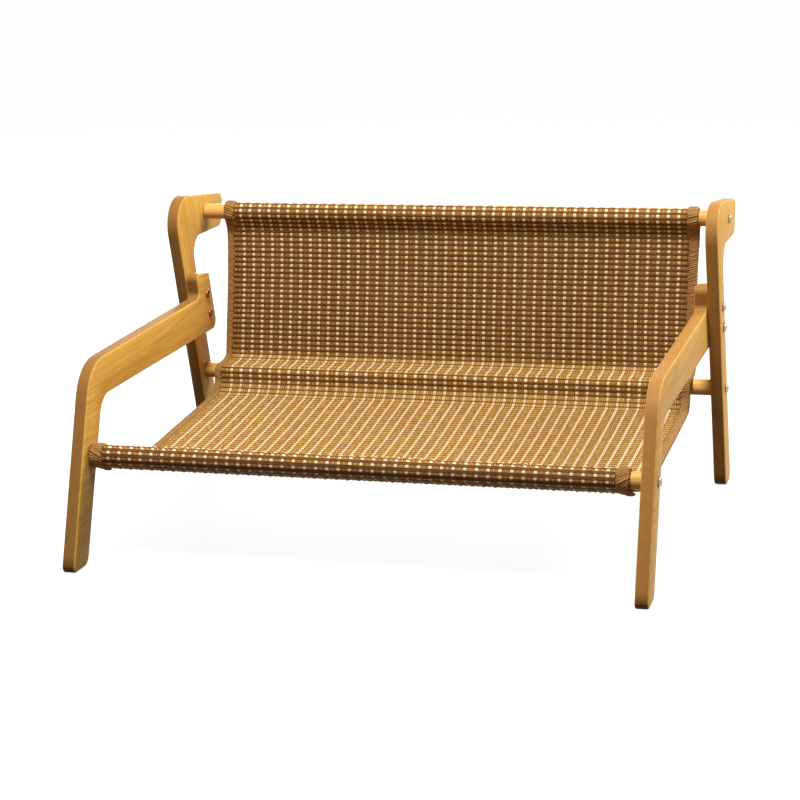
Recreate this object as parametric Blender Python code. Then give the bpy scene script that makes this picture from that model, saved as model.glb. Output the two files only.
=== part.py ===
"""Cat sofa bed: two bent-leg arm boards, two leaning back posts, three wooden rails and one woven sling.

Sizes are in metres. x runs across the seat, y runs from the front feet to the back, and z is up from the
floor. The origin is the middle of the footprint, at floor level.
"""

import math

import bmesh
import bpy
from mathutils import Vector

# Boards
SPAN = 0.600            # across the outer faces of the two back posts
BOARD = 0.013           # thickness of every board
EDGE_ROUND = 0.0018     # rounding along the board edges
TOUCH = 0.0003          # gap between faces that touch

# Back post, seen from the side
POST_HEIGHT = 0.3198    # top front corner above the floor
POST_FOOT_Y = 0.4189    # front of the foot, behind the front toe line
POST_SLOPE = 0.275      # forward lean per unit of height
POST_DEPTH = 0.036      # front to back, level
POST_FOOT_FRONT_ROUND = 0.013
POST_FOOT_BACK_ROUND = 0.009
HEAD_LENGTH = 0.153     # head of the post, front to back
HEAD_TOP_SLOPE = 0.106  # fall of the head's top per unit of length
HEAD_BACK_HEIGHT = 0.037
HEAD_BACK_SLOPE = 0.25
HEAD_FRONT_ROUND = 0.032
HEAD_BACK_ROUND = 0.010
HEAD_NECK_ROUND = 0.020

# Arm board, seen from the side: front leg, knee, armrest and the tab that crosses the post
TOE_Y = -0.0049
LEG_FRONT_SLOPE = 0.35  # backward lean of the leg's front per unit of height
LEG_FOOT_DEPTH = 0.0358
LEG_BACK_SLOPE = 0.365
TOE_ROUND = 0.006
HEEL_ROUND = 0.012
KNEE_HEIGHT = 0.1949
KNEE_ROUND = 0.047
CROOK_ROUND = 0.025
ARM_DEPTH = 0.0386      # top to underside at the knee
ARM_TOP_SLOPE = 0.028
ARM_UNDER_SLOPE = 0.0138
TAB_RISE = 0.027        # tab above the arm's top
TAB_TOP_SLOPE = 0.115
TAB_OVERHANG = 0.0025   # arm's end behind the post's back edge
TAB_FRONT_ROUND = 0.007
TAB_ROOT_ROUND = 0.006
TAB_BACK_ROUND = 0.003
ARM_END_ROUND = 0.010

# Rails: turned dowels
RAIL_DIAMETER = 0.017
RAIL_CHAMFER = 0.0008
TOP_RAIL_DROP = 0.0298           # axis below the post's top front corner
TOP_RAIL_SETBACK = 0.08885       # axis behind the post's front line
MIDDLE_RAIL_DROP = 0.0491        # axis below the corner of the post and the armrest's underside
MIDDLE_RAIL_SETBACK = 0.0213
FRONT_RAIL_DROP = 0.0896         # axis below the knee's corner
FRONT_RAIL_SETBACK = 0.02305     # axis behind the leg's front line

# Fasteners
SHANK_DIAMETER = 0.0050          # M5 screws and bolts
HEAD_RIM = 0.00225               # button head beyond its shank, all round
HEAD_THICKNESS = 0.0027
HEX_ACROSS = 0.0030
HEX_DEPTH = 0.0016
TIP_TAPER = 0.00075              # taper at the end of a shank
SCREW_GRIP = 0.0109              # screw's length inside its insert
INSERT_WALL = 0.0017
INSERT_LENGTH = 0.015
INSERT_RECESS = 0.0005
INSERT_CHAMFER = 0.0007
SLEEVE_WALL = 0.0007
SLEEVE_SHORT = 0.0083            # sleeve's end to the post's outer face
BOLT_SHORT = 0.0066              # bolt's end to the arm board's inner face
NUT_RIM = 0.0015                 # nut's head beyond its sleeve, all round
NUT_HEAD_THICKNESS = 0.0022
BORE_PAST_END = 0.002            # depth of a blind bore beyond what it holds
UPPER_BOLT_RISE = 0.0434         # above the corner of the post and the armrest's underside
LOWER_BOLT_RISE = 0.0204
BOLT_SETBACK = 0.0225            # behind the post's front line

# Sling: one woven mat with a sewn tunnel at each end
MAT = 0.0030            # thickness of the weave
TOP_LEFT_BARE = 0.0247           # bare rail between each edge and the post
TOP_RIGHT_BARE = 0.0177
SEAT_LEFT_BARE = 0.0027          # each edge of the seat to the arm board
SEAT_RIGHT_BARE = 0.0077
FRONT_LEFT_BARE = 0.0007         # each end of the front tunnel to the arm board
FRONT_RIGHT_BARE = 0.0117
TUNNEL_REACH = 0.0141            # seam beyond the rail's surface
TOP_SEAM_ANGLE = -103.0          # direction of each seam from its rail, degrees from +y towards +z
FRONT_SEAM_ANGLE = -38.0
PERCH_ANGLE = 104.0              # where the mat lies on the middle rail, degrees from +y towards +z
TREAD_FRONT = 0.0185             # ledge in front of the middle rail's axis
TREAD_BACK = 0.0145              # ledge behind that axis
TREAD_BACK_RISE = 0.0050         # back of the ledge above where it lies on the rail
TREAD_BEND = 0.0060              # size of the bends behind, before and below the ledge
RISER_HEIGHT = 0.0200            # straight drop in front of the middle rail
RISER_LEAN = 0.0025
SEAT_BACK_DROP = 0.0053          # back of the seat below the riser's foot
SEAT_BACK_SAG = 0.0010           # back half of the seat below a straight run
SEAT_LOW_DROP = 0.0328           # lowest part of the seat below the front rail's axis
SEAT_LOW_BEHIND = 0.0950         # and behind it
MIDDLE_SAG = 0.0080              # middle of the seat below its side hems

# Fineness of the surfaces
ARC_STEP = 13.0         # degrees between the points of an arc
EDGE_SEGMENTS = 3       # faces across a rounded board edge
EDGE_ANGLE = 60.0       # turn in degrees from which an edge is rounded
SHARP_ANGLE = 35.0      # turn in degrees from which an edge is shaded sharp
ROUND_SIDES = 32        # sides of a rail
SMALL_SIDES = 20        # sides of a fastener
DOME_STEPS = 4          # rings of a button head
MAT_STEP = 0.030        # length of a step along the flatter stretches of the mat
TUNNEL_STEP = 18.0      # degrees between the points of a tunnel
MAT_STATIONS = (0, 0.08, 0.28, 0.5, 0.72, 0.92, 1)   # where the section repeats, as a share of the width

# Proportions of a button head: its flat top and its straight rim
DOME_FLAT_SHARE = 0.55
DOME_RIM_SHARE = 0.25

COLOURS = {
    "wood": ((0.62, 0.36, 0.15), 0.45, 0.0),
    "steel": ((0.72, 0.70, 0.66), 0.30, 1.0),
    "brass": ((0.72, 0.42, 0.20), 0.35, 1.0),
    "weave": ((0.42, 0.25, 0.10), 0.85, 0.0),
}

# Sizes across the seat
POST_FACE = SPAN / 2 - BOARD                # inner face of a post
ARM_FACE = POST_FACE - TOUCH - BOARD        # inner face of an arm board
STACK = 2 * BOARD + TOUCH                   # post and arm board together
RAIL_RADIUS = RAIL_DIAMETER / 2
SHANK_RADIUS = SHANK_DIAMETER / 2
SHANK_BORE = SHANK_RADIUS + TOUCH
INSERT_RADIUS = SHANK_BORE + INSERT_WALL
SLEEVE_RADIUS = SHANK_BORE + SLEEVE_WALL
SCREW_LENGTH = BOARD + 2 * TOUCH + INSERT_RECESS + SCREW_GRIP
BOLT_LENGTH = STACK + TOUCH - BOLT_SHORT
SLEEVE_LENGTH = STACK + TOUCH - SLEEVE_SHORT
RAIL_BORE_DEPTH = INSERT_RECESS + max(INSERT_LENGTH, SCREW_GRIP) + BORE_PAST_END
TUNNEL_SEAM = RAIL_RADIUS + TUNNEL_REACH    # seam to the rail's axis


def crossing(first, second):
    """Where two straight lines of the side view meet. Each is (point, direction)."""
    (p, d), (q, e) = first, second
    cross = d.x * e.y - d.y * e.x
    along = ((q.x - p.x) * e.y - (q.y - p.y) * e.x) / cross
    return p + d * along


def behind(line, height, setback):
    """The point of the side view at a height above the floor and level behind a line from the floor."""
    return line[0] + line[1] * height + Vector((setback, 0))


# Lines of the side view, each (point, direction) in y and z
SHIN = (Vector((TOE_Y, 0)), Vector((LEG_FRONT_SLOPE, 1)))
CALF = (Vector((TOE_Y + LEG_FOOT_DEPTH, 0)), Vector((LEG_BACK_SLOPE, 1)))
POST_FRONT = (Vector((POST_FOOT_Y, 0)), Vector((-POST_SLOPE, 1)))
POST_BACK = (Vector((POST_FOOT_Y + POST_DEPTH, 0)), Vector((-POST_SLOPE, 1)))
KNEE = behind(SHIN, KNEE_HEIGHT, 0)
ARM_TOP = (KNEE, Vector((1, ARM_TOP_SLOPE)))
ARM_UNDER = (KNEE - Vector((0, ARM_DEPTH)), Vector((1, ARM_UNDER_SLOPE)))
JOINT_CORNER = crossing(POST_FRONT, ARM_UNDER)

# Axes of the rails and bolts, as y and z
TOP_RAIL = behind(POST_FRONT, POST_HEIGHT - TOP_RAIL_DROP, TOP_RAIL_SETBACK)
MIDDLE_RAIL = behind(POST_FRONT, JOINT_CORNER.y - MIDDLE_RAIL_DROP, MIDDLE_RAIL_SETBACK)
FRONT_RAIL = behind(SHIN, KNEE_HEIGHT - FRONT_RAIL_DROP, FRONT_RAIL_SETBACK)
UPPER_BOLT = behind(POST_FRONT, JOINT_CORNER.y + UPPER_BOLT_RISE, BOLT_SETBACK)
LOWER_BOLT = behind(POST_FRONT, JOINT_CORNER.y + LOWER_BOLT_RISE, BOLT_SETBACK)


def clear_scene():
    for item in list(bpy.data.objects):
        bpy.data.objects.remove(item)


def material(name):
    found = bpy.data.materials.get(name)
    if found:
        return found
    colour, roughness, metallic = COLOURS[name]
    made = bpy.data.materials.new(name)
    made.use_nodes = True
    shader = made.node_tree.nodes["Principled BSDF"]
    shader.inputs["Base Color"].default_value = (*colour, 1.0)
    shader.inputs["Roughness"].default_value = roughness
    shader.inputs["Metallic"].default_value = metallic
    made.diffuse_color = (*colour, 1.0)
    return made


def add_object(name, mesh_data, finish, frame, smooth=True):
    mesh = bpy.data.meshes.new(name)
    bmesh.ops.recalc_face_normals(mesh_data, faces=mesh_data.faces)
    mesh_data.to_mesh(mesh)
    mesh_data.free()
    if smooth:
        mesh.shade_smooth()
        mesh.set_sharp_from_angle(angle=math.radians(SHARP_ANGLE))
    mesh.materials.append(material(finish))
    made = bpy.data.objects.new(name, mesh)
    made.parent = frame
    bpy.context.scene.collection.objects.link(made)
    return made


def helper(name, mesh_data, frame):
    made = add_object(name, mesh_data, "wood", frame, smooth=False)
    made.hide_render = True
    made.display_type = "WIRE"
    return made


def cut(target, cutter):
    modifier = target.modifiers.new("cut " + cutter.name, "BOOLEAN")
    modifier.operation = "DIFFERENCE"
    modifier.solver = "EXACT"
    modifier.object = cutter


def rounded(corners):
    """Points of an outline whose corners (point, radius) are replaced by arcs that fit their edges."""
    count = len(corners)
    places = [place for place, _ in corners]
    edges = [places[(i + 1) % count] - places[i] for i in range(count)]
    halves = [edges[i].angle(-edges[i - 1]) / 2 for i in range(count)]
    reaches = [radius / math.tan(half) for (_, radius), half in zip(corners, halves)]
    room = [edges[i].length / (reaches[i] + reaches[(i + 1) % count]) for i in range(count)]
    points = []
    for i, (here, radius) in enumerate(corners):
        radius *= min(1.0, room[i - 1], room[i])
        half = halves[i]
        back = -edges[i - 1].normalized()
        ahead = edges[i].normalized()
        centre = here + (back + ahead).normalized() * radius / math.sin(half)
        start = here + back * radius / math.tan(half) - centre
        end = here + ahead * radius / math.tan(half) - centre
        turn = start.angle_signed(end)
        steps = max(1, math.ceil(abs(math.degrees(turn)) / ARC_STEP))
        for step in range(steps + 1):
            angle = -turn * step / steps
            cos, sin = math.cos(angle), math.sin(angle)
            points.append(centre + Vector((start.x * cos - start.y * sin, start.x * sin + start.y * cos)))
    return points


def post_outline():
    brow = behind(POST_FRONT, POST_HEIGHT, 0)
    nape = brow + Vector((HEAD_LENGTH, -HEAD_LENGTH * HEAD_TOP_SLOPE))
    chin = nape + Vector((-HEAD_BACK_HEIGHT * HEAD_BACK_SLOPE, -HEAD_BACK_HEIGHT))
    neck = crossing(POST_BACK, (chin, Vector((1, 0))))
    return rounded([
        (POST_FRONT[0], POST_FOOT_FRONT_ROUND),
        (POST_BACK[0], POST_FOOT_BACK_ROUND),
        (neck, HEAD_NECK_ROUND),
        (chin, HEAD_BACK_ROUND),
        (nape, HEAD_BACK_ROUND),
        (brow, HEAD_FRONT_ROUND),
    ])


def arm_outline():
    end = (POST_BACK[0] + Vector((TAB_OVERHANG, 0)), POST_BACK[1])
    root = crossing(POST_FRONT, ARM_TOP)
    crown = (root + Vector((0, TAB_RISE)), Vector((1, -TAB_TOP_SLOPE)))
    return rounded([
        (SHIN[0], TOE_ROUND),
        (CALF[0], HEEL_ROUND),
        (crossing(CALF, ARM_UNDER), CROOK_ROUND),
        (crossing(end, ARM_UNDER), ARM_END_ROUND),
        (crossing(end, crown), TAB_BACK_ROUND),
        (crossing(POST_FRONT, crown), TAB_FRONT_ROUND),
        (root, TAB_ROOT_ROUND),
        (KNEE, KNEE_ROUND),
    ])


def board(name, outline, low_x, frame):
    """A flat board from its side outline, with every edge rounded over."""
    shape = bmesh.new()
    face = shape.faces.new([shape.verts.new((low_x, p.x, p.y)) for p in outline])
    grown = bmesh.ops.extrude_face_region(shape, geom=[face], use_keep_orig=True)
    moved = [v for v in grown["geom"] if isinstance(v, bmesh.types.BMVert)]
    bmesh.ops.translate(shape, verts=moved, vec=(BOARD, 0, 0))
    made = add_object(name, shape, "wood", frame)
    rounding = made.modifiers.new("edge rounding", "BEVEL")
    rounding.width = EDGE_ROUND
    rounding.segments = EDGE_SEGMENTS
    rounding.use_clamp_overlap = False
    rounding.limit_method = "ANGLE"
    rounding.angle_limit = math.radians(EDGE_ANGLE)
    return made


def turned(profile, place, side, sides=SMALL_SIDES):
    """A turned solid about x. The profile is (distance along x towards side, radius), axis to axis."""
    shape = bmesh.new()
    y, z = place[1], place[2]
    rings = []
    for along, radius in profile:
        x = place[0] + side * along
        if radius == 0:
            rings.append([shape.verts.new((x, y, z))])
            continue
        ring = []
        for i in range(sides):
            angle = 2 * math.pi * i / sides
            ring.append(shape.verts.new((x, y + radius * math.cos(angle), z + radius * math.sin(angle))))
        rings.append(ring)
    for ring, following in zip(rings, rings[1:]):
        for i in range(sides):
            j = (i + 1) % sides
            if len(ring) == 1:
                shape.faces.new((ring[0], following[i], following[j]))
            elif len(following) == 1:
                shape.faces.new((ring[i], ring[j], following[0]))
            else:
                shape.faces.new((ring[i], ring[j], following[j], following[i]))
    return shape


def rod(radius, length):
    return [(0, 0), (0, radius), (length, radius), (length, 0)]


def dome(radius, thickness):
    """Profile of a button head that stands on the face at 0, as far as its flat top."""
    flat = radius * DOME_FLAT_SHARE
    points = [(0, radius)]
    for step in range(DOME_STEPS + 1):
        angle = math.pi / 2 * step / DOME_STEPS
        height = thickness * (DOME_RIM_SHARE + (1 - DOME_RIM_SHARE) * math.sin(angle))
        points.append((height, flat + (radius - flat) * math.cos(angle)))
    return points


def sink_drive(piece, place, side, frame):
    """Sinks a hexagonal drive into a head whose top is at place."""
    radius = HEX_ACROSS / math.sqrt(3)
    profile = [(-HEX_DEPTH, 0), (-HEX_DEPTH, radius), (HEX_DEPTH, radius), (HEX_DEPTH, 0)]
    cut(piece, helper(piece.name + "_drive_cutter", turned(profile, place, side, sides=6), frame))


def headed(name, place, side, length, frame):
    """A button-head screw whose head stands outside the face at place and whose shank runs inwards."""
    profile = [(-length, 0), (-length, SHANK_RADIUS - TIP_TAPER), (-length + TIP_TAPER, SHANK_RADIUS)]
    profile.append((0, SHANK_RADIUS))
    profile += dome(SHANK_RADIUS + HEAD_RIM, HEAD_THICKNESS)
    profile.append((HEAD_THICKNESS, 0))
    made = add_object(name, turned(profile, place, side), "steel", frame)
    sink_drive(made, (place[0] + side * HEAD_THICKNESS, place[1], place[2]), side, frame)


def rail(name, axis, half_length, frame):
    """A dowel between two boards, with a bore in each end for its threaded insert."""
    low = RAIL_RADIUS - RAIL_CHAMFER
    ends = [(-half_length, 0), (-half_length, low), (-half_length + RAIL_CHAMFER, RAIL_RADIUS)]
    profile = ends + [(-along, radius) for along, radius in reversed(ends)]
    made = add_object(name, turned(profile, (0, *axis), 1, ROUND_SIDES), "wood", frame)
    bore = INSERT_RADIUS + TOUCH
    for side, label in ((-1, "left"), (1, "right")):
        start = (side * (half_length + BORE_PAST_END), *axis)
        profile = rod(bore, RAIL_BORE_DEPTH + BORE_PAST_END)
        cut(made, helper(f"{name}_{label}_bore_cutter", turned(profile, start, -side), frame))


def insert(name, axis, end_x, side, frame):
    """A threaded insert sunk in a rail's end, open right through for the screw."""
    profile = [
        (0, 0),
        (0, INSERT_RADIUS - INSERT_CHAMFER),
        (INSERT_CHAMFER, INSERT_RADIUS),
        (INSERT_LENGTH - INSERT_CHAMFER, INSERT_RADIUS),
        (INSERT_LENGTH, INSERT_RADIUS - INSERT_CHAMFER),
        (INSERT_LENGTH, 0),
    ]
    place = (side * (end_x - INSERT_RECESS), *axis)
    made = add_object(name, turned(profile, place, -side), "brass", frame)
    start = (place[0] + side * BORE_PAST_END, *axis)
    bore = rod(SHANK_BORE, INSERT_LENGTH + 2 * BORE_PAST_END)
    cut(made, helper(name + "_bore_cutter", turned(bore, start, -side), frame))


def fixed_rail(name, axis, inner, boards, frame):
    """A rail with its two inserts and screws, between boards whose inner faces are at inner either side."""
    half_length = inner - TOUCH
    rail(name, axis, half_length, frame)
    for side, label in ((-1, "left"), (1, "right")):
        insert(f"{name}_{label}_insert", axis, half_length, side, frame)
        head_place = (side * (inner + BOARD + TOUCH), *axis)
        headed(f"{name}_{label}_screw", head_place, side, SCREW_LENGTH, frame)
        start = (side * (inner - BORE_PAST_END), *axis)
        bore = rod(SHANK_BORE, BOARD + 2 * BORE_PAST_END)
        cut(boards[label], helper(f"{name}_{label}_board_cutter", turned(bore, start, side), frame))


def sleeve_nut(name, place, side, frame):
    """A nut whose sleeve runs outwards through the arm board from its head on the inner face."""
    profile = [(SLEEVE_LENGTH, 0), (SLEEVE_LENGTH, SLEEVE_RADIUS), (0, SLEEVE_RADIUS)]
    profile += [(-along, radius) for along, radius in dome(SLEEVE_RADIUS + NUT_RIM, NUT_HEAD_THICKNESS)]
    profile.append((-NUT_HEAD_THICKNESS, 0))
    made = add_object(name, turned(profile, place, side), "brass", frame)
    start = (place[0] + side * TOUCH, place[1], place[2])
    bore = rod(SHANK_BORE, SLEEVE_LENGTH + BORE_PAST_END)
    cut(made, helper(name + "_bore_cutter", turned(bore, start, side), frame))
    sink_drive(made, (place[0] - side * NUT_HEAD_THICKNESS, place[1], place[2]), -side, frame)


def arm_joint(label, side, height, axis, boards, frame):
    """One bolt and sleeve nut that clamp an arm board to its back post."""
    nut_place = (side * (ARM_FACE - TOUCH), *axis)
    sleeve_nut(f"{label}_{height}_sleeve_nut", nut_place, side, frame)
    bolt_place = (side * (SPAN / 2 + TOUCH), *axis)
    headed(f"{label}_{height}_arm_bolt", bolt_place, side, BOLT_LENGTH, frame)
    start = (side * (ARM_FACE - BORE_PAST_END), *axis)
    bore = rod(SLEEVE_RADIUS + TOUCH, STACK + 2 * BORE_PAST_END)
    cutter = helper(f"{label}_{height}_joint_cutter", turned(bore, start, side), frame)
    for piece in boards:
        cut(piece, cutter)


def heading(degrees):
    return Vector((math.cos(math.radians(degrees)), math.sin(math.radians(degrees))))


def across(direction):
    """The direction turned a quarter turn, for the two faces of the mat."""
    return Vector((-direction.y, direction.x)).normalized()


def smooth_curve(points, first_heading, last_heading):
    """A curve through the points that keeps each bend local, with two or more steps to a stretch."""
    lengths = [(end - start).length for start, end in zip(points, points[1:])]
    slopes = [first_heading * lengths[0] / 2]
    for i in range(1, len(points) - 1):
        reach = min(lengths[i - 1], lengths[i])
        slopes.append((points[i + 1] - points[i - 1]).normalized() * reach)
    slopes.append(last_heading * lengths[-1] / 2)
    samples = [points[0]]
    for i, length in enumerate(lengths):
        start, end = points[i], points[i + 1]
        steps = max(2, round(length / MAT_STEP))
        for step in range(1, steps + 1):
            t = step / steps
            samples.append(
                start * (2 * t ** 3 - 3 * t ** 2 + 1)
                + slopes[i] * (t ** 3 - 2 * t ** 2 + t)
                + end * (3 * t ** 2 - 2 * t ** 3)
                + slopes[i + 1] * (t ** 3 - t ** 2)
            )
    return samples


def mat_path():
    """Middle of the mat's thickness in the side plane, from the top seam to the front seam."""
    lift = RAIL_RADIUS + TOUCH + MAT / 2
    leaving = heading(TOP_SEAM_ANGLE)
    arriving = -heading(FRONT_SEAM_ANGLE)
    first = TOP_RAIL + leaving * TUNNEL_SEAM
    last = FRONT_RAIL - arriving * TUNNEL_SEAM
    panel_foot = MIDDLE_RAIL + Vector((TREAD_BACK, lift + TREAD_BACK_RISE + TREAD_BEND))
    tread_back = MIDDLE_RAIL + Vector((TREAD_BACK - TREAD_BEND, lift + TREAD_BACK_RISE))
    perch = MIDDLE_RAIL + heading(PERCH_ANGLE) * lift
    tread_front = MIDDLE_RAIL + Vector((-TREAD_FRONT, lift - TREAD_BEND))
    riser_foot = tread_front + Vector((-RISER_LEAN, -RISER_HEIGHT))
    seat_back = riser_foot + Vector((-TREAD_BEND, -SEAT_BACK_DROP))
    seat_low = FRONT_RAIL + Vector((SEAT_LOW_BEHIND, -SEAT_LOW_DROP))
    points = [
        first,
        panel_foot,
        tread_back,
        perch,
        tread_front,
        riser_foot,
        seat_back,
        (seat_back + seat_low) / 2 - Vector((0, SEAT_BACK_SAG)),
        seat_low,
        last,
    ]
    return smooth_curve(points, leaving, arriving), riser_foot


def tunnel(axis, seam_angle):
    """Inner and outer points of the sewn loop round a rail, from one side of its seam to the other."""
    inner = RAIL_RADIUS + TOUCH
    outer = inner + MAT
    wedge = math.asin((inner + MAT / 2) / TUNNEL_SEAM)
    seam = heading(seam_angle)
    shoulder = axis + seam * TUNNEL_SEAM
    apex = axis + seam * inner / math.sin(wedge)
    first = seam_angle + 90 - math.degrees(wedge)
    last = seam_angle + 270 + math.degrees(wedge)
    steps = math.ceil((last - first) / TUNNEL_STEP)
    turns = [heading(first + (last - first) * i / steps) for i in range(steps + 1)]
    loop = [(axis + turn * inner, axis + turn * outer) for turn in turns]
    side = across(seam) * MAT / 2
    return apex, shoulder + side, shoulder - side, loop


def mat_section():
    """Side section of the mat: points, how far along the mat each one lies (0 to 1), and faces."""
    path, riser_foot = mat_path()
    run = [0.0]
    for here, after in zip(path, path[1:]):
        run.append(run[-1] + (after - here).length)
    riser_run = run[min(range(len(path)), key=lambda i: (path[i] - riser_foot).length)]
    points, places, faces = [], [], []

    def add(point, place):
        points.append(point)
        places.append(place)
        return len(points) - 1

    def add_tunnel(axis, seam_angle, place):
        apex, left, right, loop = tunnel(axis, seam_angle)
        apex, left, right = (add(p, place) for p in (apex, left, right))
        pairs = [(add(a, place), add(b, place)) for a, b in loop]
        pairs = [(apex, left), *pairs, (apex, right)]
        faces.append((apex, left, right))
        for (a, b), (c, d) in zip(pairs, pairs[1:]):
            faces.append(tuple(dict.fromkeys((a, b, d, c))))
        return left, right

    back_pair = add_tunnel(TOP_RAIL, TOP_SEAM_ANGLE, 0.0)
    front_pair = add_tunnel(FRONT_RAIL, FRONT_SEAM_ANGLE, 1.0)[::-1]
    pairs = [back_pair]
    for i in range(1, len(path) - 1):
        side = across(path[i + 1] - path[i - 1]) * MAT / 2
        place = run[i] / run[-1]
        pairs.append((add(path[i] + side, place), add(path[i] - side, place)))
    pairs.append(front_pair)
    for (a, b), (c, d) in zip(pairs, pairs[1:]):
        faces.append((a, b, d, c))
    return points, places, faces, riser_run / run[-1]


def blend(low, high, share):
    share = min(1.0, max(0.0, share))
    return low + (high - low) * share * share * (3 - 2 * share)


def woven_sling(frame):
    """The mat: its side section carried across the seat, with its own width at the top, seat and front."""
    points, places, faces, riser = mat_section()
    top_left, top_right = -POST_FACE + TOP_LEFT_BARE, POST_FACE - TOP_RIGHT_BARE
    seat_left, seat_right = -ARM_FACE + SEAT_LEFT_BARE, ARM_FACE - SEAT_RIGHT_BARE
    front_left, front_right = -ARM_FACE + FRONT_LEFT_BARE, ARM_FACE - FRONT_RIGHT_BARE
    shape = bmesh.new()
    stations = []
    for share in MAT_STATIONS:
        row = []
        for point, place in zip(points, places):
            if place < riser:
                left = blend(top_left, seat_left, place / riser)
                right = blend(top_right, seat_right, place / riser)
                drop = 0.0
            else:
                forward = (place - riser) / (1 - riser)
                left = blend(seat_left, front_left, forward)
                right = blend(seat_right, front_right, forward)
                drop = MIDDLE_SAG * math.sin(math.pi * forward) ** 2 * math.sin(math.pi * share)
            row.append(shape.verts.new((left + (right - left) * share, point.x, point.y - drop)))
        stations.append(row)
    shared = {}
    for face in faces:
        for a, b in zip(face, face[1:] + face[:1]):
            shared[frozenset((a, b))] = shared.get(frozenset((a, b)), 0) + 1
    rim = [tuple(edge) for edge, uses in shared.items() if uses == 1]
    for row in (stations[0], stations[-1]):
        for face in faces:
            shape.faces.new([row[i] for i in face])
    for row, following in zip(stations, stations[1:]):
        for a, b in rim:
            shape.faces.new((row[a], row[b], following[b], following[a]))
    add_object("woven_sling", shape, "weave", frame)


def main():
    clear_scene()
    post = post_outline()
    arm = arm_outline()
    depths = [p.x for p in post + arm]
    frame = bpy.data.objects.new("frame", None)
    frame.location.y = -(min(depths) + max(depths)) / 2
    bpy.context.scene.collection.objects.link(frame)
    posts = {
        "left": board("left_back_post", post, -SPAN / 2, frame),
        "right": board("right_back_post", post, POST_FACE, frame),
    }
    arms = {
        "left": board("left_arm_board", arm, -ARM_FACE - BOARD, frame),
        "right": board("right_arm_board", arm, ARM_FACE, frame),
    }
    fixed_rail("top_rail", TOP_RAIL, POST_FACE, posts, frame)
    fixed_rail("middle_rail", MIDDLE_RAIL, POST_FACE, posts, frame)
    fixed_rail("front_rail", FRONT_RAIL, ARM_FACE, arms, frame)
    for side, label in ((-1, "left"), (1, "right")):
        for height, axis in (("upper", UPPER_BOLT), ("lower", LOWER_BOLT)):
            arm_joint(label, side, height, axis, (arms[label], posts[label]), frame)
    woven_sling(frame)


main()
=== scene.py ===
"""Cat sofa bed: the looks of its wooden frame and its woven sling.

Sizes are in metres, in the frame's own axes: x across the seat, y from the front feet to the back, z up.
"""

import math

import bpy
import numpy as np
from mathutils import Matrix, Vector


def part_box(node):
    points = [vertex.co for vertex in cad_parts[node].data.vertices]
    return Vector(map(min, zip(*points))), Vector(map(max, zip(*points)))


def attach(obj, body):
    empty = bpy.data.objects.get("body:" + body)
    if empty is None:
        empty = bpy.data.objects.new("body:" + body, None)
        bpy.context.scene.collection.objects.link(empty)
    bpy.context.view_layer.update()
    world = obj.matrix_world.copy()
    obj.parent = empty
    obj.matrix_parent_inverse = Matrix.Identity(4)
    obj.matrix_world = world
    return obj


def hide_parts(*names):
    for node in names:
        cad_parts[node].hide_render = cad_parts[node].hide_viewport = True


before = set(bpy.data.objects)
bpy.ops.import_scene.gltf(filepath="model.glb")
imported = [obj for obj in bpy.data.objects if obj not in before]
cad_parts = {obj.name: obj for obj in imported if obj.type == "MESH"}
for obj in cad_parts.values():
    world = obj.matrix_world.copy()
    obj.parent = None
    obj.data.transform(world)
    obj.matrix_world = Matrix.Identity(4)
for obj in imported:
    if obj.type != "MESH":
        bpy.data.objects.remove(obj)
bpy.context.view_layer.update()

# Camera, as found from the photograph, in metres, radians and pixels
EYE = (0.59974, -2.08776, 0.64571)
YAW = 0.2845
PITCH = 0.2342
ROLL = -0.0290
FOCAL_PIXELS = 2177.9
IMAGE_PIXELS = 800
SENSOR_MM = 36.0
CLIP_END = 50

# Lamps: place, size and power
LAMPS = {
    "key": ((1.1, 0.45, 0.95), 0.6, 16),
    "overhead": ((0.05, -0.80, 2.3), 0.6, 92),
    "back fill": ((-0.6, 1.9, 0.60), 0.8, 26),
}
LAMP_TARGET = (0, 0, 0.15)

# World and floor, as linear colours: what lights the object, and what straight rays see
WORLD_LIGHT = (0.058, 0.036, 0.017, 1)
WORLD_SEEN = (1, 1, 1, 1)
FLOOR_LIGHT = (0.12, 0.10, 0.085, 1)
FLOOR_SEEN = (0.17, 0.17, 0.17, 1), (0.18, 0.18, 0.18, 1)
FLOOR_GLOW = 0.90
FLOOR_CELLS = 3.0
FLOOR_RANGE = (0.3, 0.7)
FLOOR_ROUGHNESS = 0.9
FLOOR_HALF_SIZE = 12

# Wood: the plain colour and the darker one, from 0 to 255. A stain is given by the two noise values
# at which it starts and is full, and its share there, and a bump by its strength and its distance.
BOARD_TONES = (219, 170, 82), (208, 155, 68)
RAIL_TONES = (217, 169, 96), (201, 151, 78)
# Painted shade on the boards' edges, which take less of the main light from the right; deeper on the left
# boards, further from it
EDGE_SHADE_TONES = {"left": (118, 80, 41), "right": (142, 97, 50)}
# Painted shade on the feet's edges, nearest the floor
FOOT_SHADE_TONE = (58, 34, 16)
FOOT_SHADE_HEIGHTS = (0.004, 0.019)    # the painted shade on the feet's edges fades out between these heights
FOOT_SHADE_SHARE = 0.8
PORE_CELLS = (18, 800, 800)      # noise cells in a metre, along the grain and across it
PORE_STAIN = (0.48, 0.68, 0.38)
PORE_SHADE = 0.70                # of the darker colour
BAND_CELLS = (3.0, 170, 170)
BAND_RANGE = (0.36, 0.66)        # noise values between which the darker colour turns into the plain one
PATCH_CELLS = 9.0
PATCH_STAIN = (0.45, 0.75, 0.18)
EDGE_FACING = (0.25, 0.95)       # how squarely a surface faces sideways, from edge to broad face
# share of the painted edge shade
EDGE_SHADE_SHARE = 0.85
WOOD_ROUGHNESS = (0.16, 0.40)    # what the pores add, and the least
WOOD_BUMP = (0.16, 0.0006)
BAND_BUMP = 0.5                  # share of the bands in it
LACQUER_SHINE = 0.07

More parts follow.
